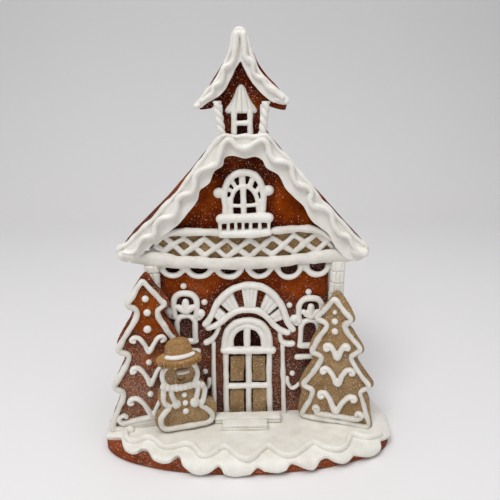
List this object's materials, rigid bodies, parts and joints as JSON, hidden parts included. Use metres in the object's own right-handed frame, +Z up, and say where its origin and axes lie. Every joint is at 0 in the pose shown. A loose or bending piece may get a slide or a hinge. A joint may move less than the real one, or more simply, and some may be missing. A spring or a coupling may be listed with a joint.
{
  "type": "gingerbread house ornament",
  "caption": "Free-standing gingerbread village house with a steeple, tree and snowman biscuits on a snow-covered board, piped with white icing.",
  "frame": {"origin": "middle of the bounding box at the underside of the board", "axes": "+Z up, the door and gable front face -Y, +X to the right seen from the front"},
  "size_m": [0.1944, 0.1034, 0.2653],
  "materials": {
    "brown_biscuit": "matt baked clay dough, reddish brown, fine grain with glitter",
    "tan_biscuit": "matt baked clay dough, golden tan, coarse grain with glitter",
    "straw_biscuit": "matt baked clay dough, light straw colour",
    "icing": "smooth satin white, like piped royal icing",
    "snow_icing": "soft white with fine clear glitter"
  },
  "bodies": {
    "root": {"attic_balcony": "icing", "attic_window": "icing", "base_plate": "brown_biscuit", "base_rope": "icing", "base_snow": "snow_icing", "beam": "icing", "column_back_left": "icing", "column_back_right": "icing", "column_left": "icing", "column_right": "icing", "door_fanlight": "icing", "door_frame": "icing", "door_leaf": "tan_biscuit", "door_post_left": "icing", "door_post_right": "icing", "gable_panel": "tan_biscuit", "house_body": "brown_biscuit", "lattice": "icing", "lattice_rail_left": "icing", "lattice_rail_right": "icing", "porch_arch": "icing", "roof_left": "brown_biscuit", "roof_right": "brown_biscuit", "roof_trim": "icing", "roof_trim_back": "icing", "roof_trim_rope": "icing", "scallops": "icing", "snowman": "tan_biscuit", "snowman_hat": "straw_biscuit", "snowman_hat_band": "icing", "snowman_outline": "icing", "steeple_body": "brown_biscuit", "steeple_canopy": "icing", "steeple_post_left": "icing", "steeple_post_right": "icing", "steeple_roof": "brown_biscuit", "steeple_trim": "icing", "steeple_window": "icing", "step_lower": "icing", "step_upper": "icing", "tree_left": "brown_biscuit", "tree_left_outline": "icing", "tree_left_swag_1": "icing", "tree_left_swag_2": "icing", "tree_left_swag_3": "icing", "tree_right": "tan_biscuit", "tree_right_outline": "icing", "tree_right_swag_1": "icing", "tree_right_swag_2": "icing", "tree_right_swag_3": "icing", "wall_wave_left": "icing", "wall_wave_right": "icing", "window_left": "icing", "window_right": "icing", "window_side_left": "icing", "window_side_right": "icing", "window_sill_left": "icing", "window_sill_right": "icing"}
  },
  "joints": []
}
